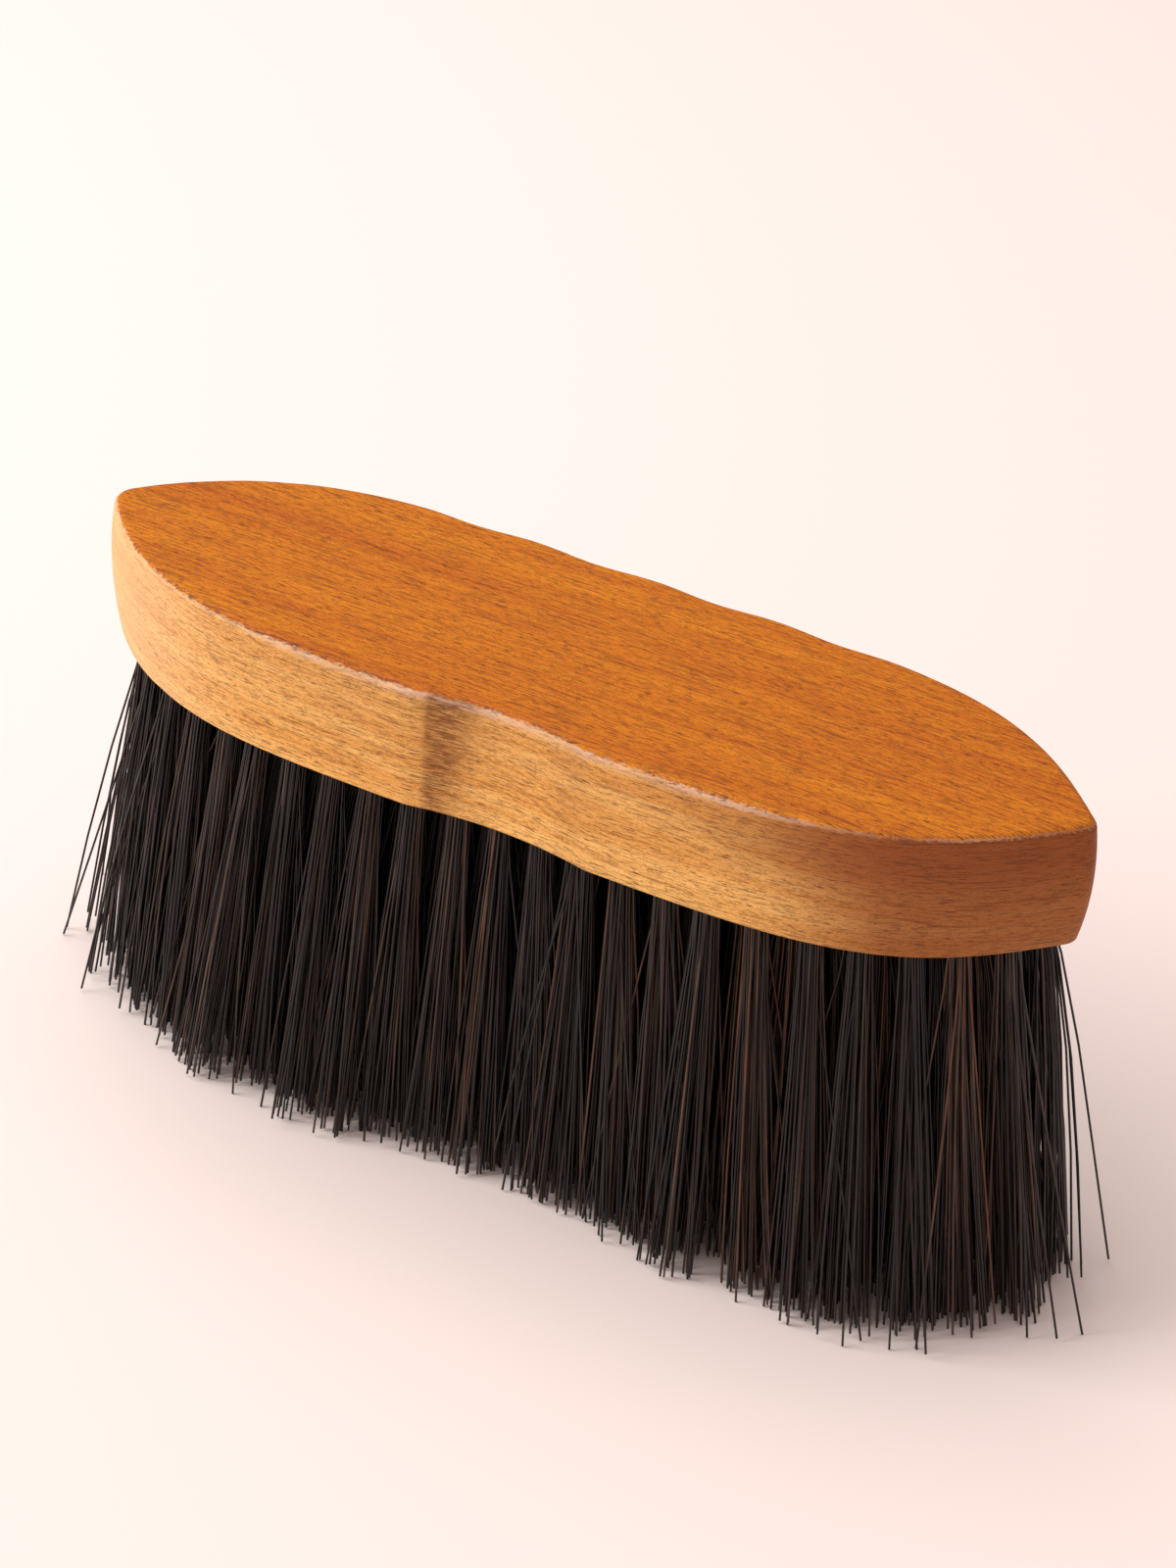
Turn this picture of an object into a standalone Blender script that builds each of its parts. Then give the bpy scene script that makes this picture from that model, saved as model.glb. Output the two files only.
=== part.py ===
"""Bristle brush for grooming: a waisted hardwood block set with ranks of bristle tufts.

Frame: metres, +Z up. The origin lies on the table under the middle of the brush.
X runs along the block, -Y is the thumb side and +Y is the finger side.
The brush stands on its bristle tips, as it does when it is put down.
"""

import math

import bmesh
import bpy
from mathutils import Vector

MM = 0.001

# Block
BLOCK_LENGTH = 205 * MM
BLOCK_HALF_WIDTH = 29.7 * MM
BLOCK_THICKNESS = 25.5 * MM
END_TAPER_POWER = 5.2
END_ROUND_POWER = 1.2
END_TAPER_LENGTH = 104 * MM
END_TIP_RADIUS = 3.0 * MM
END_CAP_START = 101.7 * MM
TOP_EDGE_RADIUS = 1.2 * MM
BOTTOM_EDGE_RADIUS = 0.8 * MM
OUTLINE_STEPS = 44

# Grips worked into the long sides
THUMB_DIP_DEPTH = 2.2 * MM
THUMB_DIP_HALF_LENGTH = 19 * MM
FINGER_DIP_DEPTH = 0.9 * MM
FINGER_PITCH = 26 * MM
FINGER_ZONE_HALF_LENGTH = 52 * MM

# Bristle field
BRISTLE_LENGTH = 77 * MM
RANKS_EACH_SIDE = 11
END_RANK_X = 91.5 * MM
ROW_PITCH = 8.2 * MM
EDGE_INSET = 5.2 * MM
ZIGZAG = 2.15 * MM
ZIGZAG_FADE_START = 50 * MM
ZIGZAG_FADE_END = 62 * MM
FAN_ALONG = 0.13
FAN_ACROSS = 0.0714
FAN_ACROSS_AT = 24 * MM

# Tufts and the blind holes that they are set in
HOLE_RADIUS = 2.5 * MM
HOLE_DEPTH = 14 * MM
HOLE_SIDES = 8
HOLE_OVERCUT = 3 * MM
TUFT_ROOT_RADIUS = 2.0 * MM
TUFT_TIP_SPREAD = 4.6 * MM
MERGE_HEIGHT = 17 * MM
SPLIT_RISE = 6 * MM
SPLIT_SHRINK = 0.86
CLEARANCE = 0.3 * MM

ROOT_Z = BRISTLE_LENGTH
BLOCK_TOP_Z = BRISTLE_LENGTH + BLOCK_THICKNESS

WOOD_COLOUR = (0.50, 0.20, 0.055, 1.0)
BRISTLE_COLOUR = (0.030, 0.022, 0.018, 1.0)
CREASE_ANGLE = math.radians(35)


def clear_scene():
    """Remove whatever the new file holds."""
    for obj in list(bpy.data.objects):
        bpy.data.objects.remove(obj, do_unlink=True)


def make_material(name, colour, roughness):
    """Return a plain principled material."""
    material = bpy.data.materials.new(name)
    material.use_nodes = True
    shader = material.node_tree.nodes["Principled BSDF"]
    shader.inputs["Base Color"].default_value = colour
    shader.inputs["Roughness"].default_value = roughness
    shader.inputs["Metallic"].default_value = 0.0
    material.diffuse_color = colour
    return material


def make_object(name, mesh_builder, material=None):
    """Turn a finished bmesh into an object in the scene."""
    mesh = bpy.data.meshes.new(name)
    mesh_builder.to_mesh(mesh)
    mesh_builder.free()
    mesh.shade_smooth()
    mesh.set_sharp_from_angle(angle=CREASE_ANGLE)
    obj = bpy.data.objects.new(name, mesh)
    bpy.context.collection.objects.link(obj)
    if material:
        mesh.materials.append(material)
    return obj


def plain_half_width(x):
    """Half width of the block at x before the grips are worked into it."""
    taper = abs(x / END_TAPER_LENGTH) ** END_TAPER_POWER
    width = BLOCK_HALF_WIDTH * (1 - taper) ** END_ROUND_POWER
    if abs(x) > END_CAP_START:
        past_tip_centre = abs(x) - (BLOCK_LENGTH / 2 - END_TIP_RADIUS)
        width = math.sqrt(max(END_TIP_RADIUS ** 2 - past_tip_centre ** 2, 0.0))
    return width


def thumb_dip(x):
    """Depth of the one long hollow on the thumb side: a shallow circular arc."""
    along = abs(x) / THUMB_DIP_HALF_LENGTH
    return THUMB_DIP_DEPTH * max(1 - along * along, 0.0)


def finger_dips(x):
    """Depth of the four shallow finger hollows on the far side."""
    if abs(x) > FINGER_ZONE_HALF_LENGTH:
        return 0.0
    return FINGER_DIP_DEPTH * 0.5 * (1 - math.cos(2 * math.pi * x / FINGER_PITCH))


def half_width(x, side):
    """Half width at x on one side: -1 is the thumb side, +1 the finger side."""
    dip = thumb_dip(x) if side < 0 else finger_dips(x)
    return plain_half_width(x) - dip


def row_edge(x, side):
    """Distance of the outer row of holes from the middle line, a fixed way inside the edge."""
    step = 1 * MM
    slope = (half_width(x + step, side) - half_width(x - step, side)) / (2 * step)
    return half_width(x, side) - EDGE_INSET * math.hypot(1, slope)


def rank_positions():
    """Places of the ranks along X, evenly spaced round the edge of the bristle field."""
    samples = 400
    edge = [Vector((END_RANK_X * i / samples, row_edge(END_RANK_X * i / samples, 1)))
            for i in range(samples + 1)]
    run = [0.0]
    for here, there in zip(edge, edge[1:]):
        run.append(run[-1] + (there - here).length)
    half = []
    for rank in range(1, RANKS_EACH_SIDE + 1):
        goal = run[-1] * rank / RANKS_EACH_SIDE
        nearest = min(range(samples + 1), key=lambda i: abs(run[i] - goal))
        half.append(edge[nearest].x)
    return [-x for x in reversed(half)] + [0.0] + half


def zigzag_at(x):
    """How far neighbouring rows of a rank are staggered. It fades out towards the ends."""
    fade = (ZIGZAG_FADE_END - abs(x)) / (ZIGZAG_FADE_END - ZIGZAG_FADE_START)
    return ZIGZAG * min(max(fade, 0.0), 1.0)


def rank_roots(x):
    """Root points of one rank, from the thumb side to the finger side."""
    front = -row_edge(x, -1)
    back = row_edge(x, 1)
    spaces = max(round((back - front) / ROW_PITCH), 1)
    stagger = zigzag_at(x)
    roots = []
    for row in range(spaces + 1):
        shift = -stagger if row % 2 == 0 else stagger
        roots.append(Vector((x + shift, front + (back - front) * row / spaces, ROOT_Z)))
    return roots


def lean(point):
    """Sideways travel of a tuft for each metre that it goes down."""
    return Vector((FAN_ALONG * point.x / END_RANK_X, FAN_ACROSS * point.y / FAN_ACROSS_AT, 0))


def fanned(point, z):
    """The place at height z of a point of the root plane, following the fan of the tufts."""
    place = point + lean(point) * (ROOT_Z - z)
    return Vector((place.x, place.y, z))


def build_block(material, ranks):
    """The wooden block: one solid piece with rounded edges and blind tuft holes."""
    block = bmesh.new()
    outline = []
    for step in range(OUTLINE_STEPS + 1):
        x = BLOCK_LENGTH / 2 * math.sin(math.pi * (step / OUTLINE_STEPS - 0.5))
        outline.append((x, -half_width(x, -1)))
    for step in range(OUTLINE_STEPS - 1, 0, -1):
        x = BLOCK_LENGTH / 2 * math.sin(math.pi * (step / OUTLINE_STEPS - 0.5))
        outline.append((x, half_width(x, 1)))
    underside = block.faces.new([block.verts.new((x, y, ROOT_Z)) for x, y in outline])
    underside.normal_update()
    lifted = bmesh.ops.extrude_face_region(block, geom=[underside], use_keep_orig=True)
    raised = [item for item in lifted["geom"] if isinstance(item, bmesh.types.BMVert)]
    bmesh.ops.translate(block, verts=raised, vec=(0, 0, BLOCK_THICKNESS))
    bmesh.ops.recalc_face_normals(block, faces=block.faces)

    for level, radius, segments in ((BLOCK_TOP_Z, TOP_EDGE_RADIUS, 2),
                                    (ROOT_Z, BOTTOM_EDGE_RADIUS, 1)):
        rim = [edge for edge in block.edges
               if all(abs(vert.co.z - level) < 0.01 * MM for vert in edge.verts)]
        bmesh.ops.bevel(block, geom=rim, offset=radius, offset_type="OFFSET", affect="EDGES",
                        segments=segments, profile=0.5, material=-1)
    block_obj = make_object("block", block, material)

    drill = bmesh.new()
    for x in ranks:
        for root in rank_roots(x):
            axis = -lean(root) + Vector((0, 0, 1))
            bottom = root + axis * HOLE_DEPTH
            mouth = root - axis * HOLE_OVERCUT
            made = bmesh.ops.create_cone(drill, cap_ends=True, cap_tris=False,
                                         segments=HOLE_SIDES, radius1=HOLE_RADIUS,
                                         radius2=HOLE_RADIUS, depth=(bottom - mouth).length)
            turn = Vector((0, 0, 1)).rotation_difference(axis).to_matrix()
            bmesh.ops.rotate(drill, verts=made["verts"], cent=(0, 0, 0), matrix=turn)
            bmesh.ops.translate(drill, verts=made["verts"], vec=(bottom + mouth) / 2)
    drill_obj = make_object("tuft_hole_cutter", drill)
    drill_obj.hide_render = True
    drill_obj.display_type = "WIRE"

    holes = block_obj.modifiers.new("tuft_holes", "BOOLEAN")
    holes.operation = "DIFFERENCE"
    holes.solver = "EXACT"
    holes.object = drill_obj
    return block_obj


def rank_cells(roots, left, right):
    """Six-cornered cells side by side, one round each tuft, anticlockwise from the low left."""
    rows = [root.y for root in roots]
    middles = [(a + b) / 2 for a, b in zip(rows, rows[1:])]
    walls = [rows[0] - TUFT_TIP_SPREAD] + middles + [rows[-1] + TUFT_TIP_SPREAD]
    return [[(left, low), (right, low), (right, row), (right, high), (left, high), (left, row)]
            for row, low, high in zip(rows, walls, walls[1:])]


def build_rank(name, material, roots, left, right):
    """One rank of tufts: apart at their roots, run together where the filaments mingle."""
    rank = bmesh.new()
    corners = {}
    tips = []
    for cell in rank_cells(roots, left, right):
        for x, y in cell:
            if (x, y) not in corners:
                corners[x, y] = rank.verts.new((x, y, 0))
        tips.append(rank.faces.new([corners[place] for place in cell]))
    raised = bmesh.ops.extrude_face_region(rank, geom=tips, use_keep_orig=True)["geom"]
    tops = [item for item in raised if isinstance(item, bmesh.types.BMFace)]
    tops.sort(key=lambda face: face.calc_center_median().y)
    for face in tops:
        for vert in face.verts:
            vert.co.z = MERGE_HEIGHT

    for root, face in zip(roots, tops):
        centre = face.calc_center_median()
        bmesh.ops.inset_individual(rank, faces=[face], thickness=CLEARANCE)
        for vert in face.verts:
            vert.co = centre + (vert.co - centre) * SPLIT_SHRINK
            vert.co.z = MERGE_HEIGHT + SPLIT_RISE
        for z in (ROOT_Z, ROOT_Z + HOLE_DEPTH - CLEARANCE):
            face = bmesh.ops.extrude_discrete_faces(rank, faces=[face])["faces"][0]
            for turn, vert in enumerate(face.verts):
                angle = math.pi / 3 * (turn - 2)
                vert.co.x = root.x + TUFT_ROOT_RADIUS * math.cos(angle)
                vert.co.y = root.y + TUFT_ROOT_RADIUS * math.sin(angle)
                vert.co.z = z
    for vert in rank.verts:
        vert.co = fanned(vert.co, vert.co.z)
    bmesh.ops.recalc_face_normals(rank, faces=rank.faces)
    return make_object(name, rank, material)


def main():
    """Build the brush."""
    clear_scene()
    wood = make_material("stained_wood", WOOD_COLOUR, 0.42)
    bristle = make_material("bristle", BRISTLE_COLOUR, 0.38)
    ranks = rank_positions()
    build_block(wood, ranks)
    walls = [(a + b) / 2 for a, b in zip(ranks, ranks[1:])]
    walls = [ranks[0] - TUFT_TIP_SPREAD] + walls + [ranks[-1] + TUFT_TIP_SPREAD]
    for number, x in enumerate(ranks, start=1):
        left = walls[number - 1] + CLEARANCE / 2
        right = walls[number] - CLEARANCE / 2
        build_rank(f"tuft_rank_{number:02d}", bristle, rank_roots(x), left, right)


main()
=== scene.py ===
"""Bristle brush, dressed: a waisted wooden block and its folded, anchored tufts of bristle.

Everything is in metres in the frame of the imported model: X along the block, -Y the thumb
side, +Z up from the table that the bristle tips stand on.
"""

import logging
import math
from dataclasses import dataclass, field
from enum import Enum

import bmesh
import bpy
import numpy as np
from mathutils import Matrix, Vector, noise


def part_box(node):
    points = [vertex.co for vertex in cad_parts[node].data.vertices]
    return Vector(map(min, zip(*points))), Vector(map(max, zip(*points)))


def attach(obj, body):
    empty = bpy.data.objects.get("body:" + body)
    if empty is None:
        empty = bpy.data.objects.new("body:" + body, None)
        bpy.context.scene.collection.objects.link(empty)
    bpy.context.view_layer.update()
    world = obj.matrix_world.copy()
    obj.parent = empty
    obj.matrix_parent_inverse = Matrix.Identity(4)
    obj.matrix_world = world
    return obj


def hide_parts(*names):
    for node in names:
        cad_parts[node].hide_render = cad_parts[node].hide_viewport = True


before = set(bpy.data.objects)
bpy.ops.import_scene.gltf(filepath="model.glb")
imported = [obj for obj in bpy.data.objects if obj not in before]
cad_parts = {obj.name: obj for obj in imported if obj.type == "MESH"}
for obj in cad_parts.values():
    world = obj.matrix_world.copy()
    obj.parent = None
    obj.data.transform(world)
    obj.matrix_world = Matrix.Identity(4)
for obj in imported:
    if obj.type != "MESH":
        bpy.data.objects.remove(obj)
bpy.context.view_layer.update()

MM = 0.001
SEED = 41
UP = Vector((0, 0, 1))
LOG = logging.getLogger("bristle_brush")

Colour = tuple[float, float, float, float]
Triple = tuple[float, float, float]
Pair = tuple[float, float]


class Side(Enum):
    """The long sides of the block, as the sign of Y."""

    THUMB = -1
    FINGER = 1


class Slot(Enum):
    """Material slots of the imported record."""

    WOOD = "stained_wood"
    BRISTLE = "bristle"
    WIRE = "anchor_wire"


def share_of(value: float, start: float, over: float) -> float:
    """How far a value has gone from start over a stretch, clamped to 0 and 1."""
    return min(max((value - start) / over, 0.0), 1.0)


# ---------------------------------------------------------------- node helpers


@dataclass(frozen=True)
class Pattern:
    """A noise pattern, with its features per metre along each axis."""

    stretch: Triple
    detail: float = 2.0
    rough: float = 0.5
    distortion: float = 0.0
    round_outline: bool = False


@dataclass(frozen=True)
class Ramp:
    """A smooth and clamped step that takes low..high to to_low..to_high."""

    low: float
    high: float
    to_low: float = 0.0
    to_high: float = 1.0


class NodeGraph:
    """Short ways to add and join shader nodes in one material."""

    def __init__(self, name: str) -> None:
        """Start a material.

        Args:
            name: the material's name.
        """
        self.material = bpy.data.materials.new(name)
        self.material.use_nodes = True
        self.nodes = self.material.node_tree.nodes
        self.links = self.material.node_tree.links
        self.shader = self.nodes["Principled BSDF"]

    def put(self, socket: bpy.types.NodeSocket, value: object) -> None:
        """Join a socket to another one, or set its plain value.

        Args:
            socket: the input to fill.
            value: an output socket, a number or a colour.
        """
        if isinstance(value, bpy.types.NodeSocket):
            self.links.new(value, socket)
        else:
            socket.default_value = value

    def stretched(self, place: bpy.types.NodeSocket, stretch: Triple) -> bpy.types.NodeSocket:
        """Multiply places by a stretch.

        Args:
            place: the socket that gives the places.
            stretch: the factor along each axis.

        Returns:
            The socket of the stretched places.
        """
        mapping = self.nodes.new("ShaderNodeMapping")
        mapping.inputs["Scale"].default_value = stretch
        self.links.new(place, mapping.inputs["Vector"])
        return mapping.outputs["Vector"]

    def object_place(self) -> bpy.types.NodeSocket:
        """Metres from the origin of the piece."""
        return self.nodes.new("ShaderNodeTexCoord").outputs["Object"]

    def along(self, axis: str) -> bpy.types.NodeSocket:
        """Measure along one axis of the piece.

        Args:
            axis: X, Y or Z.

        Returns:
            The socket of the metres from the origin of the piece.
        """
        split = self.nodes.new("ShaderNodeSeparateXYZ")
        self.links.new(self.object_place(), split.inputs["Vector"])
        return split.outputs[axis]

    def round_place(self) -> bpy.types.NodeSocket:
        """Measure in a way that follows the block's outline.

        Returns:
            The socket of the metres round the outline, along Y and in from the top edge.
        """
        join = self.nodes.new("ShaderNodeCombineXYZ")
        self.put(join.inputs["X"], self.attribute("round"))
        self.put(join.inputs["Y"], self.along("Y"))
        self.put(join.inputs["Z"], self.attribute("rim"))
        return join.outputs["Vector"]

    def noise(self, pattern: Pattern) -> bpy.types.NodeSocket:
        """Add a noise texture.

        Args:
            pattern: the size and character of its features.

        Returns:
            The socket of the noise, between 0 and 1.
        """
        place = self.round_place() if pattern.round_outline else self.object_place()
        texture = self.nodes.new("ShaderNodeTexNoise")
        texture.inputs["Scale"].default_value = 1.0
        texture.inputs["Detail"].default_value = pattern.detail
        texture.inputs["Roughness"].default_value = pattern.rough
        texture.inputs["Distortion"].default_value = pattern.distortion
        self.links.new(self.stretched(place, pattern.stretch), texture.inputs["Vector"])
        return texture.outputs["Fac"]

    def attribute(self, name: str) -> bpy.types.NodeSocket:
        """Read a number that the piece's mesh holds at each point.

        Args:
            name: the attribute's name.

        Returns:
            The socket of the number.
        """
        node = self.nodes.new("ShaderNodeAttribute")
        node.attribute_name = name
        return node.outputs["Fac"]

    def math(self, kind: str, first: object, second: object = 0.0) -> bpy.types.NodeSocket:
        """Do one sum.

        Args:
            kind: the operation's name in Blender.
            first: a socket or a number.
            second: a socket or a number.

        Returns:
            The socket of the result.
        """
        node = self.nodes.new("ShaderNodeMath")
        node.operation = kind
        self.put(node.inputs[0], first)
        self.put(node.inputs[1], second)
        return node.outputs[0]

    def times(self, first: object, second: object) -> bpy.types.NodeSocket:
        """Multiply two sockets or numbers."""
        return self.math("MULTIPLY", first, second)

    def fit(self, value: object, ramp: Ramp) -> bpy.types.NodeSocket:
        """Fit a value to a ramp.

        Args:
            value: a socket or a number.
            ramp: where the step lies and what it leads to.

        Returns:
            The socket of the fitted value.
        """
        node = self.nodes.new("ShaderNodeMapRange")
        node.interpolation_type = "SMOOTHSTEP"
        self.put(node.inputs["Value"], value)
        node.inputs["From Min"].default_value = ramp.low
        node.inputs["From Max"].default_value = ramp.high
        node.inputs["To Min"].default_value = ramp.to_low
        node.inputs["To Max"].default_value = ramp.to_high
        return node.outputs["Result"]

    def mix(self, factor: object, first: object, second: object) -> bpy.types.NodeSocket:
        """Blend two colours.

        Args:
            factor: the share of the second colour.
            first: a socket or a colour.
            second: a socket or a colour.

        Returns:
            The socket of the blended colour.
        """
        node = self.nodes.new("ShaderNodeMix")
        node.data_type = "RGBA"
        self.put(node.inputs[0], factor)
        self.put(node.inputs[6], first)
        self.put(node.inputs[7], second)
        return node.outputs[2]

    def bump(self, height: bpy.types.NodeSocket, depth: float, strength: float) -> None:
        """Raise the shaded surface.

        Args:
            height: the socket of the height, between 0 and 1.
            depth: the metres that a height of 1 stands for.
            strength: the share of the effect that is used.
        """
        node = self.nodes.new("ShaderNodeBump")
        node.inputs["Strength"].default_value = strength
        node.inputs["Distance"].default_value = depth
        self.put(node.inputs["Height"], height)
        self.links.new(node.outputs["Normal"], self.shader.inputs["Normal"])


def srgb(red: int, green: int, blue: int) -> Colour:
    """Turn a display colour into linear light.

    Args:
        red: 0 to 255.
        green: 0 to 255.
        blue: 0 to 255.

    Returns:
        Red, green and blue from 0 to 1, and an alpha of 1.
    """
    parts = []
    for part in (red, green, blue):
        share = part / 255
        parts.append(share / 12.92 if share <= 0.04045 else ((share + 0.055) / 1.055) ** 2.4)
    return (parts[0], parts[1], parts[2], 1.0)


# -------------------------------------------------------------------- finishes


@dataclass(frozen=True)
class WoodFinish:
    """Straight-grained hardwood: orange stain on the back, clear lacquer on the sides."""

    stain_light: Colour = srgb(220, 134, 10)
    stain_mid: Colour = srgb(196, 104, 6)
    stain_dark: Colour = srgb(92, 32, 6)
    clear_light: Colour = srgb(248, 194, 112)
    clear_mid: Colour = srgb(229, 163, 79)
    clear_dark: Colour = srgb(98, 50, 22)
    # painted shade: the colour of the darkened right end and of the band under the top edge
    painted_shade_colour: Colour = srgb(150, 74, 26)
    # painted light: the colour that the left end of the sides is paled towards
    painted_light_colour: Colour = srgb(240, 190, 140)
    bare: Colour = srgb(230, 194, 166)
    speck: Colour = srgb(86, 54, 50)
    # painted shade: the dark streaky colour of the thumb hollow's flank
    hollow_shade_colour: Colour = srgb(108, 54, 18)

    # The stained back, whose grain runs along X.
    back_bands: Pattern = Pattern((7, 170, 60), 3.0, 0.6, 0.3)
    back_streaks: Pattern = Pattern((70, 1900, 400), 4.0, 0.72, 0.2)
    back_pores: Pattern = Pattern((430, 4800, 900), 3.0, 0.65, 0.1)
    back_fuzz: Pattern = Pattern((1700, 6200, 1700), 3.0, 0.7)
    back_bands_show: Ramp = Ramp(0.25, 0.75)
    back_fuzz_lightens: Ramp = Ramp(0.52, 0.68, 0.0, 0.60)
    back_streaks_show: Ramp = Ramp(0.51, 0.37, 0.0, 0.52)
    back_fuzz_darkens: Ramp = Ramp(0.48, 0.32, 0.0, 0.60)
    back_pores_show: Ramp = Ramp(0.47, 0.39, 0.0, 0.75)

    # The clear sides, whose grain follows the outline in flat layers.
    side_bands: Pattern = Pattern((12, 20, 240), 3.0, 0.6, 0.3, True)
    side_streaks: Pattern = Pattern((110, 40, 2700), 4.0, 0.72, 0.3, True)
    side_flecks: Pattern = Pattern((400, 80, 5600), 3.0, 0.68, 0.1, True)
    side_fuzz: Pattern = Pattern((1700, 200, 6400), 2.0, 0.65, 0.0, True)
    side_bands_show: Ramp = Ramp(0.34, 0.66)
    side_fuzz_lightens: Ramp = Ramp(0.54, 0.68, 0.0, 0.45)
    side_streaks_show: Ramp = Ramp(0.50, 0.36, 0.0, 0.52)
    side_fuzz_darkens: Ramp = Ramp(0.48, 0.32, 0.0, 0.48)
    side_flecks_show: Ramp = Ramp(0.46, 0.38, 0.0, 0.80)
    grain_opens: Ramp = Ramp(-98 * MM, -60 * MM, 0.3, 1.0)

    # Painted light that pales the left end, and painted shade that darkens the right end and a
    # band under the top edge towards the right.
    painted_light_leftward: Ramp = Ramp(-50 * MM, -90 * MM, 0.0, 0.6)
    painted_shade_rightward: Ramp = Ramp(48 * MM, 80 * MM, 0.0, 0.78)
    shade_band_height: Ramp = Ramp(84 * MM, 97 * MM)
    shade_band_starts: Ramp = Ramp(-75 * MM, -50 * MM)
    shade_band_strengthens: Ramp = Ramp(25 * MM, 72 * MM, 0.13, 0.75)

    # Painted shade on the flank where the thumb hollow starts, and a fainter darkening where it
    # ends.
    hollow_shade_streaks: Pattern = Pattern((230, 40, 2600), 4.0, 0.75, 0.0, True)
    hollow_shade_streaks_show: Ramp = Ramp(0.60, 0.40, 0.28, 0.86)
    hollow_shade_starts: Ramp = Ramp(-16.6 * MM, -14.2 * MM)
    hollow_shade_fades: Ramp = Ramp(-11 * MM, -2 * MM, 1.0, 0.0)
    hollow_shade_tilt: float = 0.17
    hollow_shade_tilts_from: float = 97 * MM
    far_darkening_starts: Ramp = Ramp(9 * MM, 15 * MM)
    far_darkening_ends: Ramp = Ramp(21 * MM, 16 * MM, 0.0, 0.3)
    hollow_shade_depth: Ramp = Ramp(-26.5 * MM, -27.2 * MM)

    # The worn top edge, by the metres in from it, which are negative down the side.
    ragged: Pattern = Pattern((420, 1800, 1800), 4.0, 0.75)
    patchy: Pattern = Pattern((38, 60, 60))
    left_stained: Pattern = Pattern((55, 80, 80))
    crumbs: Pattern = Pattern((800, 1600, 3200), 3.0, 0.65)
    smudges: Pattern = Pattern((120, 160, 500), 3.0, 0.6)
    ragged_by: Ramp = Ramp(0.25, 0.75, -0.42 * MM, 0.42 * MM)
    narrows_to_ends: Ramp = Ramp(25 * MM, 82 * MM, 1.0, 0.26)
    worn_edge: Ramp = Ramp(-2.2 * MM, -0.3 * MM)
    worn_patches: Ramp = Ramp(0.35, 0.65, 0.35, 0.92)
    worn_crumbs: Ramp = Ramp(0.36, 0.56, 0.45, 1.0)
    stain_edge: Ramp = Ramp(-0.35 * MM, 0.30 * MM)
    border_outer: Ramp = Ramp(-1.2 * MM, 0.0)
    border_inner: Ramp = Ramp(1.2 * MM, 0.3 * MM)
    border_patches: Ramp = Ramp(0.36, 0.56, 0.25, 1.0)
    border_rightward: Ramp = Ramp(45 * MM, 75 * MM, 1.0, 0.45)
    smudge_outer: Ramp = Ramp(-6.0 * MM, -1.4 * MM)
    smudge_inner: Ramp = Ramp(0.5 * MM, 0.0, 0.0, 0.8)
    smudges_show: Ramp = Ramp(0.50, 0.64)
    specks_show: Ramp = Ramp(0.47, 0.60)
    speck_strength: float = 0.75

    # Gloss and relief.
    grain: Pattern = Pattern((130, 2600, 2600), 3.0, 0.6)
    grain_roughness: Ramp = Ramp(0.3, 0.7, 0.60, 0.46)
    dry_outer: Ramp = Ramp(-1.9 * MM, -0.2 * MM)
    dry_inner: Ramp = Ramp(0.9 * MM, 0.2 * MM)
    dry_roughness: float = 0.2
    specular: float = 0.22
    grain_relief: float = 0.7
    crumb_relief: float = 0.3
    relief_depth: float = 0.09 * MM
    relief_strength: float = 0.8

    def stained(self, g: NodeGraph) -> bpy.types.NodeSocket:
        """Colour the stained back.

        Args:
            g: the material's graph.

        Returns:
            The socket of the colour.
        """
        fuzz = g.noise(self.back_fuzz)
        bands = g.fit(g.noise(self.back_bands), self.back_bands_show)
        streaks = g.fit(g.noise(self.back_streaks), self.back_streaks_show)
        pores = g.fit(g.noise(self.back_pores), self.back_pores_show)
        tone = g.mix(bands, self.stain_mid, self.stain_light)
        tone = g.mix(g.fit(fuzz, self.back_fuzz_lightens), tone, self.stain_light)
        tone = g.mix(streaks, tone, self.stain_dark)
        tone = g.mix(g.fit(fuzz, self.back_fuzz_darkens), tone, self.stain_dark)
        return g.mix(pores, tone, self.stain_dark)

    def cleared(self, g: NodeGraph) -> bpy.types.NodeSocket:
        """Colour the lacquered sides, with painted light on the left end and painted shade on the
        right end and under the top edge.

        Args:
            g: the material's graph.

        Returns:
            The socket of the colour.
        """
        x = g.along("X")
        fuzz = g.noise(self.side_fuzz)
        bands = g.fit(g.noise(self.side_bands), self.side_bands_show)
        tone = g.mix(bands, self.clear_mid, self.clear_light)
        tone = g.mix(g.fit(fuzz, self.side_fuzz_lightens), tone, self.clear_light)
        # painted light: the side is paled towards the left end, which faces the lamp
        tone = g.mix(g.fit(x, self.painted_light_leftward), tone, self.painted_light_colour)
        # painted shade: the side darkens towards the right end, which faces away from the lamp
        tone = g.mix(g.fit(x, self.painted_shade_rightward), tone, self.painted_shade_colour)
        # painted shade: a darker band under the top edge, strongest towards the right end
        shade_band = g.times(g.fit(g.along("Z"), self.shade_band_height), g.fit(x, self.shade_band_starts))
        shade_band = g.times(shade_band, g.fit(x, self.shade_band_strengthens))
        tone = g.mix(shade_band, tone, self.painted_shade_colour)
        opening = g.fit(x, self.grain_opens)
        streaks = g.fit(g.noise(self.side_streaks), self.side_streaks_show)
        tone = g.mix(g.times(streaks, opening), tone, self.clear_dark)
        tone = g.mix(g.fit(fuzz, self.side_fuzz_darkens), tone, self.clear_dark)
        flecks = g.fit(g.noise(self.side_flecks), self.side_flecks_show)
        return g.mix(g.times(flecks, opening), tone, self.clear_dark)

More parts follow.
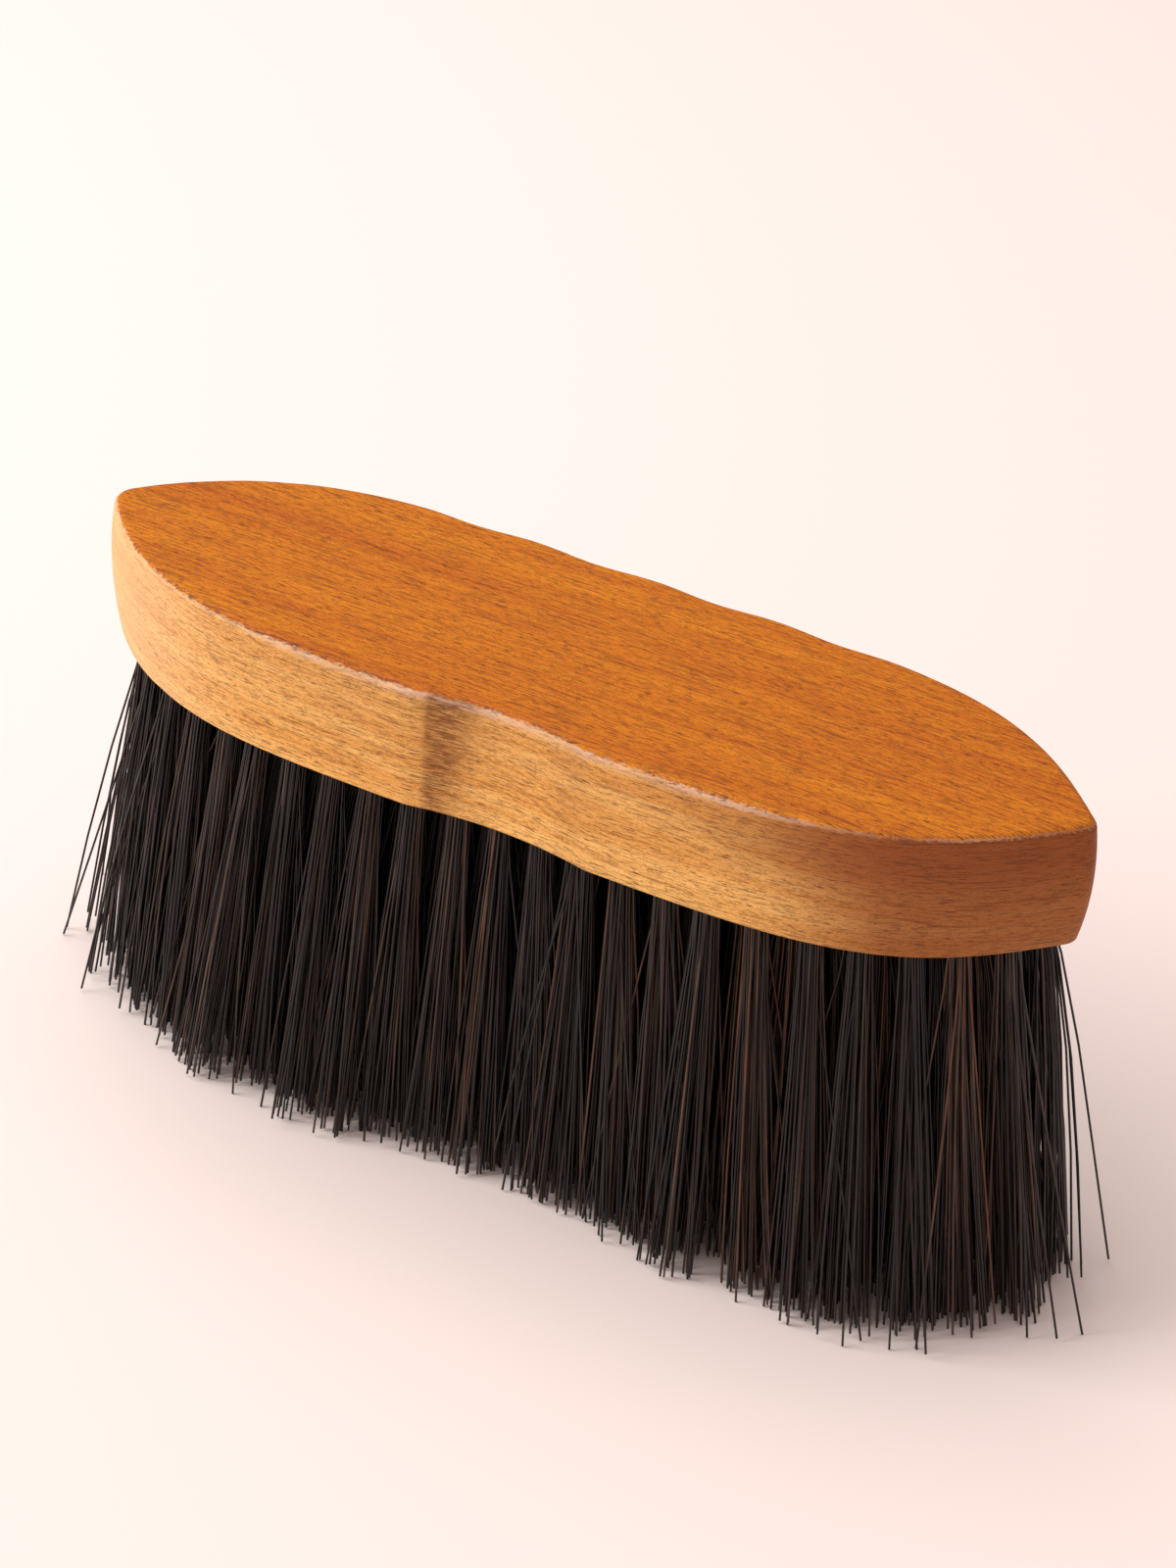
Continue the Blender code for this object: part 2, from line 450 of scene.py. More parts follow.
    def hollow_shading(self, g: NodeGraph) -> bpy.types.NodeSocket:
        """Find the painted shade on the flank where the thumb hollow starts, and the fainter
        darkening where it ends.

        Args:
            g: the material's graph.

        Returns:
            The socket of the painted shade, from 0 to 1.
        """
        x = g.along("X")
        drift = g.times(g.math("SUBTRACT", g.along("Z"), self.hollow_shade_tilts_from), self.hollow_shade_tilt)
        fade = g.fit(g.math("SUBTRACT", x, drift), self.hollow_shade_fades)
        entering = g.times(g.fit(x, self.hollow_shade_starts), fade)
        leaving = g.times(g.fit(x, self.far_darkening_starts), g.fit(x, self.far_darkening_ends))
        hollow_dark = g.times(g.math("MAXIMUM", entering, leaving), g.fit(g.along("Y"), self.hollow_shade_depth))
        return g.times(hollow_dark, g.fit(g.noise(self.hollow_shade_streaks), self.hollow_shade_streaks_show))

    def worn(self, g: NodeGraph, below: bpy.types.NodeSocket,
             crumbs: bpy.types.NodeSocket) -> bpy.types.NodeSocket:
        """Find where hands have worn the side down to bare wood.

        Args:
            g: the material's graph.
            below: metres in from the top edge, stretched towards the ends.
            crumbs: the fine noise of the wear.

        Returns:
            The socket of the wear, from 0 to 1.
        """
        patches = g.fit(g.noise(self.patchy), self.worn_patches)
        worn = g.times(g.fit(below, self.worn_edge), patches)
        return g.times(worn, g.fit(crumbs, self.worn_crumbs))

    def specks(self, g: NodeGraph, edge: bpy.types.NodeSocket, below: bpy.types.NodeSocket,
               crumbs: bpy.types.NodeSocket) -> bpy.types.NodeSocket:
        """Find the dark specks along the edge of the stain and in smudges below it.

        Args:
            g: the material's graph.
            edge: metres in from the ragged top edge.
            below: the same, stretched towards the ends.
            crumbs: the fine noise of the wear.

        Returns:
            The socket of the specks, from 0 to 1.
        """
        border = g.times(g.fit(below, self.border_outer), g.fit(edge, self.border_inner))
        border = g.times(border, g.fit(g.noise(self.left_stained), self.border_patches))
        border = g.times(border, g.fit(g.along("X"), self.border_rightward))
        smudges = g.fit(g.noise(self.smudges), self.smudges_show)
        under = g.times(g.fit(below, self.smudge_outer), smudges)
        under = g.times(under, g.fit(edge, self.smudge_inner))
        return g.times(g.math("MAXIMUM", border, under), g.fit(crumbs, self.specks_show))

    def material(self) -> bpy.types.Material:
        """Build the wood.

        Returns:
            The material, which reads two attributes of the block: rim, the metres in from
            the top edge and negative down the side, and round, the metres along the outline.
        """
        g = NodeGraph("stained_wood")
        crumbs = g.noise(self.crumbs)
        edge = g.math("ADD", g.attribute("rim"), g.fit(g.noise(self.ragged), self.ragged_by))
        reach = g.fit(g.math("ABSOLUTE", g.along("X")), self.narrows_to_ends)
        below = g.math("DIVIDE", edge, reach)
        specks = g.times(self.specks(g, edge, below, crumbs), self.speck_strength)

        colour = g.mix(self.worn(g, below, crumbs), self.cleared(g), self.bare)
        # painted shade where the thumb hollow starts, with a fainter darkening where it ends
        colour = g.mix(self.hollow_shading(g), colour, self.hollow_shade_colour)
        colour = g.mix(g.fit(edge, self.stain_edge), colour, self.stained(g))
        colour = g.mix(specks, colour, self.speck)
        g.put(g.shader.inputs["Base Color"], colour)

        grain = g.noise(self.grain)
        dry = g.times(g.fit(edge, self.dry_outer), g.fit(edge, self.dry_inner))
        dry = g.times(dry, self.dry_roughness)
        rough = g.math("ADD", g.fit(grain, self.grain_roughness), dry)
        g.put(g.shader.inputs["Roughness"], rough)
        g.shader.inputs["Specular IOR Level"].default_value = self.specular
        relief = g.math("ADD", g.times(grain, self.grain_relief),
                        g.times(crumbs, self.crumb_relief))
        g.bump(relief, self.relief_depth, self.relief_strength)
        return g.material


@dataclass(frozen=True)
class BristleFinish:
    """Stiff brown-black filament with a soft shine and a few lighter, browner ones."""

    darkest: Colour = srgb(8, 5, 4)
    common: Colour = srgb(34, 22, 17)
    grey: Colour = srgb(86, 62, 48)
    brown: Colour = srgb(98, 58, 34)
    common_shades: Ramp = Ramp(0.0, 0.6)
    grey_shades: Ramp = Ramp(0.6, 0.88)
    brown_shades: Ramp = Ramp(0.90, 0.99)
    lengths: Pattern = Pattern((700, 700, 50))
    lengths_darken: Ramp = Ramp(0.35, 0.7, 0.0, 0.45)
    lengths_roughness: Ramp = Ramp(0.3, 0.7, 0.27, 0.42)
    specular: float = 0.42
    skin: Pattern = Pattern((2500, 2500, 260))
    skin_depth: float = 0.02 * MM
    skin_strength: float = 0.5

    def material(self) -> bpy.types.Material:
        """Build the filament.

        Returns:
            The material, which reads each filament's own shade from 0 to 1.
        """
        g = NodeGraph("bristle")
        shade = g.attribute("shade")
        lengths = g.noise(self.lengths)
        colour = g.mix(g.fit(shade, self.common_shades), self.darkest, self.common)
        colour = g.mix(g.fit(shade, self.grey_shades), colour, self.grey)
        colour = g.mix(g.fit(shade, self.brown_shades), colour, self.brown)
        colour = g.mix(g.fit(lengths, self.lengths_darken), colour, self.darkest)
        g.put(g.shader.inputs["Base Color"], colour)
        g.put(g.shader.inputs["Roughness"], g.fit(lengths, self.lengths_roughness))
        g.shader.inputs["Specular IOR Level"].default_value = self.specular
        g.bump(g.noise(self.skin), self.skin_depth, self.skin_strength)
        return g.material


@dataclass(frozen=True)
class WireFinish:
    """Bright drawn flat wire with fine draw lines."""

    bright: Colour = srgb(205, 202, 194)
    dull: Colour = srgb(150, 146, 138)
    lines: Pattern = Pattern((400, 9000, 9000), 3.0, 0.6)
    lines_show: Ramp = Ramp(0.35, 0.65)
    lines_roughness: Ramp = Ramp(0.3, 0.7, 0.42, 0.26)
    line_depth: float = 0.01 * MM
    line_strength: float = 0.5

    def material(self) -> bpy.types.Material:
        """Build the wire.

        Returns:
            The material.
        """
        g = NodeGraph("anchor_wire")
        lines = g.noise(self.lines)
        colour = g.mix(g.fit(lines, self.lines_show), self.dull, self.bright)
        g.put(g.shader.inputs["Base Color"], colour)
        g.shader.inputs["Metallic"].default_value = 1.0
        g.put(g.shader.inputs["Roughness"], g.fit(lines, self.lines_roughness))
        g.bump(lines, self.line_depth, self.line_strength)
        return g.material


@dataclass(frozen=True)
class TableFinish:
    """Plain pale table top."""

    colour: Colour = srgb(250, 240, 236)
    roughness: float = 0.7

    def material(self) -> bpy.types.Material:
        """Build the table's plain finish.

        Returns:
            The material.
        """
        g = NodeGraph("pale_table")
        g.shader.inputs["Base Color"].default_value = self.colour
        g.shader.inputs["Roughness"].default_value = self.roughness
        return g.material


# ------------------------------------------------------------------------ plan


@dataclass(frozen=True)
class Plan:
    """The plan of the brush: the block's outline and the places and lean of its tufts."""

    length: float
    root_z: float
    top_z: float
    half_width: float = 29.7 * MM
    taper_power: float = 5.2
    round_power: float = 1.2
    taper_length: float = 104 * MM
    tip_radius: float = 3.0 * MM
    cap_start: float = 101.7 * MM
    thumb_depth: float = 2.2 * MM
    thumb_half_length: float = 19 * MM
    finger_depth: float = 0.9 * MM
    finger_pitch: float = 26 * MM
    finger_zone: float = 52 * MM
    ranks_each_side: int = 11
    end_rank_x: float = 91.5 * MM
    row_pitch: float = 8.2 * MM
    edge_inset: float = 5.2 * MM
    zigzag: float = 2.15 * MM
    zigzag_fade: Pair = (50 * MM, 62 * MM)
    fan_along: float = 0.13
    fan_across: float = 0.0714
    fan_across_at: float = 24 * MM

    def plain_half(self, x: float) -> float:
        """Work out the half width before the grips are cut.

        Args:
            x: the place along the block.

        Returns:
            The distance of the outline from the middle line.
        """
        taper = min(abs(x / self.taper_length), 1.0) ** self.taper_power
        width = self.half_width * (1 - taper) ** self.round_power
        if abs(x) > self.cap_start:
            past = abs(x) - (self.length / 2 - self.tip_radius)
            width = math.sqrt(max(self.tip_radius ** 2 - past ** 2, 0.0))
        return width

    def dip(self, x: float, side: Side) -> float:
        """Work out how deep the grip hollows are.

        Args:
            x: the place along the block.
            side: the long side that is asked for.

        Returns:
            The depth below the plain outline.
        """
        if side is Side.THUMB:
            share = abs(x) / self.thumb_half_length
            return self.thumb_depth * max(1 - share * share, 0.0)
        if abs(x) > self.finger_zone:
            return 0.0
        return self.finger_depth * 0.5 * (1 - math.cos(2 * math.pi * x / self.finger_pitch))

    def half(self, x: float, side: Side) -> float:
        """Half width at x on one side."""
        return self.plain_half(x) - self.dip(x, side)

    def way_round(self, x: float) -> float:
        """Measure along the plain outline from the middle of a side.

        Args:
            x: the place along the block to measure to.

        Returns:
            The distance, with the sign of x.
        """
        steps = 120
        way = 0.0
        here = Vector((0.0, self.plain_half(0.0)))
        for step in range(1, steps + 1):
            share = math.sin(math.pi / 2 * step / steps)
            there = Vector((x * share, self.plain_half(x * share)))
            way += (there - here).length
            here = there
        return math.copysign(way, x)

    def row_edge(self, x: float, side: Side) -> float:
        """Work out where the outer row of tufts runs, a fixed way in from the outline.

        Args:
            x: the place along the block.
            side: the long side that is asked for.

        Returns:
            The distance of the row from the middle line.
        """
        step = 1 * MM
        slope = (self.half(x + step, side) - self.half(x - step, side)) / (2 * step)
        return self.half(x, side) - self.edge_inset * math.hypot(1, slope)

    def ranks(self) -> list[float]:
        """Space the ranks evenly round the edge of the field.

        Returns:
            The place of each rank along X, from the left end.
        """
        samples = 400
        edge = [Vector((self.end_rank_x * i / samples,
                        self.row_edge(self.end_rank_x * i / samples, Side.FINGER)))
                for i in range(samples + 1)]
        run = [0.0]
        for here, there in zip(edge, edge[1:]):
            run.append(run[-1] + (there - here).length)
        half = []
        for rank in range(1, self.ranks_each_side + 1):
            goal = run[-1] * rank / self.ranks_each_side
            half.append(edge[min(range(samples + 1), key=lambda i: abs(run[i] - goal))].x)
        return [-x for x in reversed(half)] + [0.0] + half

    def roots(self, x: float) -> list[Vector]:
        """Place the tufts of one rank, in a zigzag that dies out towards the ends.

        Args:
            x: the place of the rank along the block.

        Returns:
            The root points, from the thumb side to the finger side.
        """
        front = -self.row_edge(x, Side.THUMB)
        back = self.row_edge(x, Side.FINGER)
        spaces = max(round((back - front) / self.row_pitch), 1)
        start, end = self.zigzag_fade
        stagger = self.zigzag * share_of(end - abs(x), 0.0, end - start)
        return [Vector((x + (stagger if row % 2 else -stagger),
                        front + (back - front) * row / spaces, self.root_z))
                for row in range(spaces + 1)]

    def lean(self, root: Vector) -> Vector:
        """Sideways travel of a tuft for each metre that it goes down."""
        return Vector((self.fan_along * root.x / self.end_rank_x,
                       self.fan_across * root.y / self.fan_across_at, 0))


# ---------------------------------------------------------------------- pieces


def add_object(name: str, data: bpy.types.ID) -> bpy.types.Object:
    """Link a new object.

    Args:
        name: the object's name.
        data: the mesh, curve, lamp or camera that it shows.

    Returns:
        The object.
    """
    piece = bpy.data.objects.new(name, data)
    bpy.context.scene.collection.objects.link(piece)
    return piece


def made_mesh(name: str, bm: bmesh.types.BMesh) -> bpy.types.Mesh:
    """Turn a finished bmesh into a mesh, and free it.

    Args:
        name: the mesh's name.
        bm: the finished shape.

    Returns:
        The mesh.
    """
    mesh = bpy.data.meshes.new(name)
    bm.to_mesh(mesh)
    bm.free()
    return mesh


def baked(piece: bpy.types.Object) -> bpy.types.Mesh:
    """Apply an object's curve settings or modifiers.

    Args:
        piece: the object, which stays as it is.

    Returns:
        A new mesh of the shape that it shows.
    """
    bpy.context.view_layer.update()
    graph = bpy.context.evaluated_depsgraph_get()
    return bpy.data.meshes.new_from_object(piece.evaluated_get(graph), depsgraph=graph)


def hand_over(piece: bpy.types.Object, slot: Slot, *nodes: str) -> bpy.types.Object:
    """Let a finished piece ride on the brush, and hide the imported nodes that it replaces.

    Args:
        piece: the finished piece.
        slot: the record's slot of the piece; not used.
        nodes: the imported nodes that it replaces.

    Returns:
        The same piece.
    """
    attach(piece, "root")
    if nodes:
        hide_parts(*nodes)
    return piece


@dataclass
class Block:
    """The wooden block, raised ring by ring from its plan and drilled from below."""

    plan: Plan
    finish: WoodFinish
    outline_points: int = 420
    top_radius: float = 1.5 * MM
    bottom_radius: float = 0.8 * MM
    arc_steps: int = 5
    side_steps: int = 10
    rim_insets: tuple[float, ...] = (0.5 * MM, 1.1 * MM, 1.8 * MM, 2.8 * MM, 4.5 * MM)
    hole_radius: float = 2.5 * MM
    hole_depth: float = 14 * MM
    hole_sides: int = 20
    hole_overcut: float = 3 * MM
    bore_inset: float = 2.4 * MM
    bore_zone: float = 96.5 * MM
    wear: float = 0.15 * MM
    wear_drop: float = 3.0
    wear_reach: float = 2.2
    wear_dents: float = 110.0
    wear_nicks: float = 420.0
    wear_endways: float = 0.2
    full_from: float = 78 * MM
    full_over: float = 17 * MM
    full_tip: float = 4 * MM
    full_by: dict[Side, float] = field(
        default_factory=lambda: {Side.THUMB: 1.2 * MM, Side.FINGER: 0.9 * MM})
    tip_bulge: float = 1.1 * MM
    tip_bulge_from: float = 80 * MM
    tip_bulge_over: float = 22 * MM
    tip_bulge_width: float = 12 * MM
    tip_tuck: float = 0.6 * MM
    crease: float = math.radians(35)
    normal_weight: int = 60

    def profile(self) -> list[Triple]:
        """Work out the section of the edge from the underside to the top.

        Returns:
            Steps of (inset from the outline, height, rim distance), all in metres.
        """
        steps = []
        for step in range(self.arc_steps + 1):
            turn = math.pi / 2 * step / self.arc_steps
            steps.append((self.bottom_radius * (1 - math.sin(turn)),
                          self.plan.root_z + self.bottom_radius * (1 - math.cos(turn))))
        low = self.plan.root_z + self.bottom_radius
        high = self.plan.top_z - self.top_radius
        for step in range(1, self.side_steps + 1):
            steps.append((0.0, low + (high - low) * step / self.side_steps))
        for step in range(1, self.arc_steps + 1):
            turn = math.pi / 2 * step / self.arc_steps
            steps.append((self.top_radius * (1 - math.cos(turn)),
                          high + self.top_radius * math.sin(turn)))
        middle = self.top_radius * math.pi / 4
        rims = [min(z - high, 0.0) - middle if z <= high else
                self.top_radius * math.asin(min((z - high) / self.top_radius, 1.0)) - middle
                for _, z in steps]
        section = [(inset, z, rim) for (inset, z), rim in zip(steps, rims)]
        for inset in self.rim_insets:
            section.append((self.top_radius + inset, self.plan.top_z, middle + inset))
        return section

    def build(self) -> bpy.types.Object:
        """Model, drill and dress the block.

        Returns:
            The finished piece.
        """
        bm = bmesh.new()
        rim_layer = bm.verts.layers.float.new("rim")
        round_layer = bm.verts.layers.float.new("round")
        bmesh.ops.create_circle(bm, cap_ends=True, radius=1.0, segments=self.outline_points)
        face = bm.faces[:][0]
        outline = [self.outline_place(vert.co) for vert in face.verts]
        rounds = [self.plan.way_round(place.x) for place in outline]
        for ring, (inset, z, rim) in enumerate(self.profile()):
            if ring:
                face = bmesh.ops.extrude_discrete_faces(bm, faces=[face])["faces"][0]
            shrink_x = 1 - inset / (self.plan.length / 2)
            shrink_y = 1 - inset / self.plan.half_width
            for vert, place, way in zip(face.verts, outline, rounds):
                swell = self.swell(place.x, z)
                outward = 1 if place.x > 0 else -1
                vert.co = (place.x * shrink_x + outward * swell,
                           place.y * (shrink_y + swell / self.tip_bulge_width), z)
                vert[rim_layer] = rim
                vert[round_layer] = way
        return self.finish_block(bm)

    def outline_place(self, on_circle: Vector) -> Vector:
        """Carry a point of a circle to the block's outline.

        Args:
            on_circle: the point of the circle.

        Returns:
            The point of the outline, in X and Y.
        """
        x = self.plan.length / 2 * math.cos(math.atan2(on_circle.y, on_circle.x))
        side = Side.THUMB if on_circle.y < 0 else Side.FINGER
        return Vector((x, (self.plan.half(x, side) + self.fullness(x, side)) * side.value))

    def fullness(self, x: float, side: Side) -> float:
        """Work out how far the hand-shaped left end stands out of the plan.

        Args:
            x: the place along the block.
            side: the long side that is asked for.

        Returns:
            The distance outwards.
        """
        if x > 0:
            return 0.0
        near = share_of(-x, self.full_from, self.full_over)
        past = share_of(self.plan.length / 2 + x, 0.0, self.full_tip)
        return self.full_by[side] * near * math.sqrt(past)

    def swell(self, x: float, z: float) -> float:
        """Work out how far the rounded nose of each tip stands out of the plan.

        Args:
            x: the place along the block.
            z: the height above the table.

        Returns:
            The distance outwards, which is negative near the underside.
        """
        near = share_of(abs(x), self.tip_bulge_from, self.tip_bulge_over) ** 2
        rise = (z - self.plan.root_z) / (self.plan.top_z - self.plan.root_z)
        belly = 4 * rise * (1 - rise)
        return near * (self.tip_bulge * belly - self.tip_tuck * (1 - rise) ** 3)

    def finish_block(self, bm: bmesh.types.BMesh) -> bpy.types.Object:
        """Close, wear, drill and shade the raised shape.

        Args:
            bm: the raised shape, which is open at the underside.

        Returns:
            The finished piece.
        """
        bmesh.ops.contextual_create(bm, geom=[edge for edge in bm.edges if edge.is_boundary])
        self.soften_top_edge(bm)
        bmesh.ops.recalc_face_normals(bm, faces=bm.faces[:])
        raw = add_object("block_raw", made_mesh("block_body", bm))
        drill = add_object("drill", self.drill_mesh())
        cut = raw.modifiers.new("holes", "BOOLEAN")
        cut.operation = "DIFFERENCE"
        cut.solver = "EXACT"
        cut.object = drill
        finished = baked(raw)
        bpy.data.objects.remove(raw)
        bpy.data.objects.remove(drill)
        finished.shade_smooth()
        finished.set_sharp_from_angle(angle=self.crease)
        self.plain_bores(finished)
        finished.materials.clear()
        finished.materials.append(self.finish.material())
        piece = add_object("wooden_block", finished)
        normals = piece.modifiers.new("even_shading", "WEIGHTED_NORMAL")
        normals.keep_sharp = True
        normals.weight = self.normal_weight
        return hand_over(piece, Slot.WOOD, "block")

    def plain_bores(self, mesh: bpy.types.Mesh) -> None:
        """Give the bores and the flat underside plain wood, far from the worn top edge.

        Args:
            mesh: the drilled block, whose rim and round attributes are changed.
        """
        rim = mesh.attributes["rim"].data
        way = mesh.attributes["round"].data
        for vert in mesh.vertices:
            side = Side.THUMB if vert.co.y < 0 else Side.FINGER
            inset = self.plan.half(vert.co.x, side) - abs(vert.co.y)
            low = vert.co.z < self.plan.root_z + self.hole_depth + self.hole_overcut
            if low and inset > self.bore_inset and abs(vert.co.x) < self.bore_zone:
                rim[vert.index].value = self.plan.root_z - self.plan.top_z - inset
                way[vert.index].value = vert.co.x

    def soften_top_edge(self, bm: bmesh.types.BMesh) -> None:
        """Wear the top edge unevenly, as years of hands do.

        Args:
            bm: the raised shape, whose points are moved.
        """
        high = self.plan.top_z - self.wear_drop * self.top_radius
        reach = self.wear_reach * self.top_radius
        for vert in bm.verts:
            inset = self.plan.plain_half(vert.co.x) - abs(vert.co.y)
            if vert.co.z < high or inset > reach:
                continue
            amount = 0.5 + 0.5 * noise.noise(vert.co * self.wear_dents)
            amount *= 0.6 + 0.4 * noise.noise(vert.co * self.wear_nicks)
            rise = (vert.co.z - high) / (self.plan.top_z - high)
            outward = Vector((self.wear_endways * math.copysign(1, vert.co.x),
                              math.copysign(1, vert.co.y), 1))
            fade = min(1.0, max(0.0, 1 - inset / reach))
            vert.co -= outward.normalized() * self.wear * amount * rise * fade

    def drill_mesh(self) -> bpy.types.Mesh:
        """Make the drill bits that bore the tuft holes, each along its own tuft.

        Returns:
            One mesh of all the bits.
        """
        bm = bmesh.new()
        for x in self.plan.ranks():
            for root in self.plan.roots(x):
                axis = UP - self.plan.lean(root)
                bottom = root + axis * self.hole_depth
                mouth = root - axis * self.hole_overcut
                verts = bmesh.ops.create_cone(
                    bm, cap_ends=True, segments=self.hole_sides, radius1=self.hole_radius,
                    radius2=self.hole_radius, depth=(bottom - mouth).length)["verts"]
                turn = UP.rotation_difference(axis).to_matrix()
                bmesh.ops.rotate(bm, verts=verts, cent=(0, 0, 0), matrix=turn)
                bmesh.ops.translate(bm, verts=verts, vec=(bottom + mouth) / 2)
        return made_mesh("drill", bm)


@dataclass
class Tuft:
    """One bundle of filaments, folded over its anchor at the bottom of a hole."""

    root: Vector
    lean: Vector
    set_aside: Vector
    rng: np.random.Generator
    brown_share: float
    sprung_share: float
    inner: bool = False
    hidden: bool = False
    loose: bool = False
    yaw_scatter: float = 0.10
    outer_scatter: float = 0.014
    inner_scatter: float = 0.034
    bundle_radius: float = 2.2 * MM
    first_row: float = 0.38 * MM
    row_gap: float = 0.457 * MM
    filament_gap: float = 0.528 * MM
    last_row_gap: float = 0.2 * MM
    row_end_gap: float = 0.1 * MM
    anchor_depth: float = 12.4 * MM
    straight_share: float = 0.55
    fold_rise: float = 0.7
    fold_narrow: float = 0.6
    leg_shares: tuple[float, ...] = (0.12, 0.38, 0.68, 1.0)
    tip_spread: float = 2.8 * MM
    hidden_spread: float = 3.8 * MM
    fan_power: float = 0.95
    hidden_power: float = 0.6
    tip_scatter: float = 1.7 * MM
    bow_scatter: float = 0.5 * MM
    stray_share: float = 0.13
    stray_lean: Pair = (0.085, 0.025)
    sprung_lean: Pair = (0.09, 0.16)
    sprung_aside: float = 0.25
    raggedness: float = 0.9 * MM
    lowest_tip: float = 0.06 * MM
    set_power: float = 1.5
    loose_travel: Pair = (-19 * MM, -7 * MM)
    loose_short: float = 0.45
    yaw: float = field(init=False)
    bent_lean: Vector = field(init=False)

    def __post_init__(self) -> None:
        """Draw the turn and the small extra lean of this tuft."""
        self.yaw = self.rng.normal(0.0, self.yaw_scatter)
        scatter = self.inner_scatter if self.inner else self.outer_scatter
        self.bent_lean = self.lean + Vector((*self.rng.normal(0.0, scatter, 2), 0))

    def seats(self) -> list[Pair]:
        """Pack the folded filaments into one half of the hole.

        Returns:
            Their places across the anchor and along it.
        """
        places = []
        y = self.first_row
        row = 0
        while y < self.bundle_radius - self.last_row_gap:
            half = math.sqrt(self.bundle_radius ** 2 - y * y) - self.row_end_gap
            count = max(int(2 * half / self.filament_gap), 1)
            for number in range(count):
                places.append((half * (2 * (number + 0.5) / count - 1), y))
            row += 1
            y = self.first_row + row * self.row_gap
        return places

    def turned(self, x: float, y: float) -> Vector:
        """A step across the anchor and along it, as the anchor lies in its hole."""
        cos, sin = math.cos(self.yaw), math.sin(self.yaw)
        return Vector((x * cos - y * sin, x * sin + y * cos, 0))

    def local(self, x: float, y: float, depth: float) -> Vector:
        """A point of the hole: across the anchor, along it, and into the wood."""
        return self.root + self.turned(x, y) + (UP - self.lean) * depth

    def leg(self, x: float, y: float) -> list[Vector]:
        """Draw one end of a filament.

        Args:
            x: its place across the anchor.
            y: its place along the anchor.

        Returns:
            Points from near its root to its tip.
        """
        start = self.local(x, y, 0.0)
        length = self.root.z
        spread = Vector((x, y, 0)) / self.bundle_radius
        spread = self.turned(spread.x, spread.y)
        scatter = Vector((*self.rng.normal(0.0, self.tip_scatter, 2), 0))
        bow = Vector((*self.rng.normal(0.0, self.bow_scatter, 2), 0))
        reach = self.hidden_spread if self.hidden else self.tip_spread
        power = self.hidden_power if self.hidden else self.fan_power
        travel = self.bent_lean * length + spread * reach + scatter
        if self.rng.random() < self.stray_share:
            travel += Vector((self.rng.normal(0.0, self.stray_lean[0]),
                              self.rng.normal(0.0, self.stray_lean[1]), 0)) * length
        if self.rng.random() < self.sprung_share:
            outward = Vector((math.copysign(1, self.root.x),
                              self.rng.normal(0.0, self.sprung_aside), 0))
            travel += outward * self.rng.uniform(*self.sprung_lean) * length
        tip_z = self.lowest_tip + abs(self.rng.normal(0.0, self.raggedness))
        points = []
        for share in self.leg_shares:
            place = start + travel * share ** power + bow * math.sin(math.pi * share)
            place += self.set_aside * share ** self.set_power
            place.z = self.root.z + (tip_z - self.root.z) * share
            points.append(place)
        return points

    def filaments(self) -> list[list[Vector]]:
        """Draw all folded filaments of the tuft.

        Returns:
            The points of each filament, from tip to tip.
        """
        paths = []
        straight = self.anchor_depth * self.straight_share
        for x, y in self.seats():
            fold = self.anchor_depth + self.fold_rise * y
            middle = [self.local(x, y, straight),
                      self.local(x, self.fold_narrow * y, fold),
                      self.local(x, -self.fold_narrow * y, fold),
                      self.local(x, -y, straight)]
            paths.append(list(reversed(self.leg(x, y))) + middle + self.leg(x, -y))
        if self.loose:
            front = paths[-1]
            for place in front[-len(self.leg_shares):]:
                share = 1 - place.z / self.root.z
                place += Vector((*self.loose_travel, 0)) * share
            front[-1] = front[-1].lerp(front[-2], self.loose_short)
        return paths


